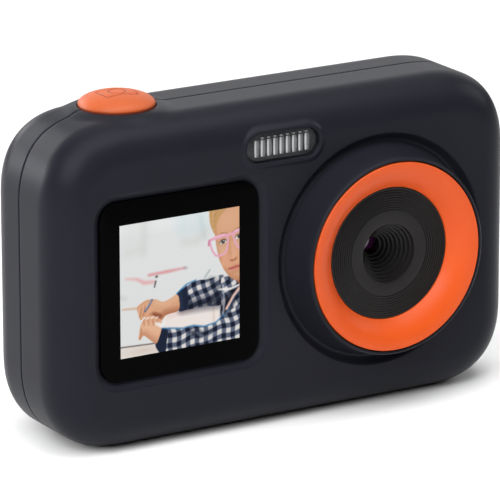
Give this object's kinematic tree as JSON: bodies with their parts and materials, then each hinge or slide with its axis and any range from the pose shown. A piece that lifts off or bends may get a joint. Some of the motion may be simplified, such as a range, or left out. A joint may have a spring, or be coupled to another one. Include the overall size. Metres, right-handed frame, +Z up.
{
  "type": "kids digital camera",
  "caption": "Compact child's camera with a large ringed lens, a small front display, a flash window, a domed shutter button, a rear display and rear keys.",
  "frame": {"origin": "centre of the whole object seen from above, on the surface it stands on", "axes": "+X to the right seen from the front, front faces -Y, +Z up"},
  "size_m": [0.092, 0.031, 0.06],
  "materials": {
    "shell_plastic": "dark navy-grey soft-touch moulded plastic",
    "cover_plastic": "dark navy-grey soft-touch moulded plastic",
    "orange_plastic": "satin orange moulded plastic",
    "black_plastic": "fine-grained black moulded plastic",
    "key_plastic": "dark satin moulded plastic",
    "display_glass": "polished black-backed display cover",
    "display_panel": "display panel with a satin film",
    "lens_glass": "coated optical glass with a violet reflection",
    "clear_plastic": "frosted and ribbed clear plastic",
    "led_phosphor": "yellow phosphor",
    "circuit_board": "green circuit board",
    "flex_film": "amber polyimide film",
    "chip_plastic": "black moulded chip",
    "card_plastic": "black card plastic",
    "steel": "satin steel",
    "cell_wrap": "silver laminated pouch",
    "foam": "closed-cell foam",
    "red_wire": "red wire insulation",
    "black_wire": "black wire insulation"
  },
  "bodies": {
    "camera_body": {"front_shell": "shell_plastic", "rear_shell": "shell_plastic", "front_display_glass": "display_glass", "front_display_panel": "display_panel", "front_display_flex": "flex_film", "rear_display_window": "display_glass", "rear_display_panel": "display_panel", "rear_display_flex": "flex_film", "lens_trim_ring": "orange_plastic", "lens_hood_disc": "black_plastic", "lens_element": "lens_glass", "lens_barrel": "black_plastic", "lens_holder": "black_plastic", "sensor_board": "circuit_board", "sensor_flex": "flex_film", "flash_window": "clear_plastic", "flash_led": "led_phosphor", "flash_board": "circuit_board", "shutter_switch": "steel", "shutter_switch_board": "circuit_board", "power_key_switch": "steel", "mode_key_switch": "steel", "playback_key_switch": "steel", "left_key_switch": "steel", "up_key_switch": "steel", "right_key_switch": "steel", "down_key_switch": "steel", "ok_key_switch": "steel", "main_board": "circuit_board", "processor_chip": "chip_plastic", "memory_chip": "chip_plastic", "microphone": "steel", "status_light_pipe": "clear_plastic", "speaker": "chip_plastic", "battery_pad": "foam", "battery": "cell_wrap", "battery_lead_red": "red_wire", "battery_lead_black": "black_wire", "usb_c_port": "steel", "card_socket": "steel", "port_cover_pin": "steel", "case_screw_1": "steel", "case_screw_2": "steel", "case_screw_3": "steel", "case_screw_4": "steel", "board_screw_1": "steel", "board_screw_2": "steel"},
    "shutter_button_body": {"shutter_button": "orange_plastic", "shutter_switch_plunger": "black_plastic"},
    "port_cover_body": {"port_cover": "cover_plastic"},
    "card_body": {"micro_sd_card": "card_plastic"},
    "power_key_body": {"power_key": "key_plastic"},
    "mode_key_body": {"mode_key": "key_plastic"},
    "playback_key_body": {"playback_key": "key_plastic"},
    "left_key_body": {"left_key": "key_plastic"},
    "up_key_body": {"up_key": "key_plastic"},
    "right_key_body": {"right_key": "key_plastic"},
    "down_key_body": {"down_key": "key_plastic"},
    "ok_key_body": {"ok_key": "orange_plastic"}
  },
  "joints": [
    {"name": "shutter_press", "type": "slide", "parent": "camera_body", "child": "shutter_button_body", "axis": [0, 0, -1], "range_m": [0, 0.001], "stiffness_N_per_m": 400, "springref_m": -0.0005},
    {"name": "power_key_press", "type": "slide", "parent": "camera_body", "child": "power_key_body", "axis": [0, -1, 0], "range_m": [0, 0.0004], "stiffness_N_per_m": 600, "springref_m": -0.0003},
    {"name": "mode_key_press", "type": "slide", "parent": "camera_body", "child": "mode_key_body", "axis": [0, -1, 0], "range_m": [0, 0.0004], "stiffness_N_per_m": 600, "springref_m": -0.0003},
    {"name": "playback_key_press", "type": "slide", "parent": "camera_body", "child": "playback_key_body", "axis": [0, -1, 0], "range_m": [0, 0.0004], "stiffness_N_per_m": 600, "springref_m": -0.0003},
    {"name": "left_key_press", "type": "slide", "parent": "camera_body", "child": "left_key_body", "axis": [0, -1, 0], "range_m": [0, 0.0004], "stiffness_N_per_m": 600, "springref_m": -0.0003},
    {"name": "up_key_press", "type": "slide", "parent": "camera_body", "child": "up_key_body", "axis": [0, -1, 0], "range_m": [0, 0.0004], "stiffness_N_per_m": 600, "springref_m": -0.0003},
    {"name": "right_key_press", "type": "slide", "parent": "camera_body", "child": "right_key_body", "axis": [0, -1, 0], "range_m": [0, 0.0004], "stiffness_N_per_m": 600, "springref_m": -0.0003},
    {"name": "down_key_press", "type": "slide", "parent": "camera_body", "child": "down_key_body", "axis": [0, -1, 0], "range_m": [0, 0.0004], "stiffness_N_per_m": 600, "springref_m": -0.0003},
    {"name": "ok_key_press", "type": "slide", "parent": "camera_body", "child": "ok_key_body", "axis": [0, -1, 0], "range_m": [0, 0.0004], "stiffness_N_per_m": 600, "springref_m": -0.0003},
    {"name": "port_cover_hinge", "type": "hinge", "parent": "camera_body", "child": "port_cover_body", "pos_m": [0.0445, 0.0066, 0.0151], "axis": [0, 1, 0], "range_deg": [0, 90]},
    {"name": "card_slide", "type": "slide", "parent": "camera_body", "child": "card_body", "axis": [1, 0, 0], "range_m": [-0.0008, 0.004]}
  ]
}
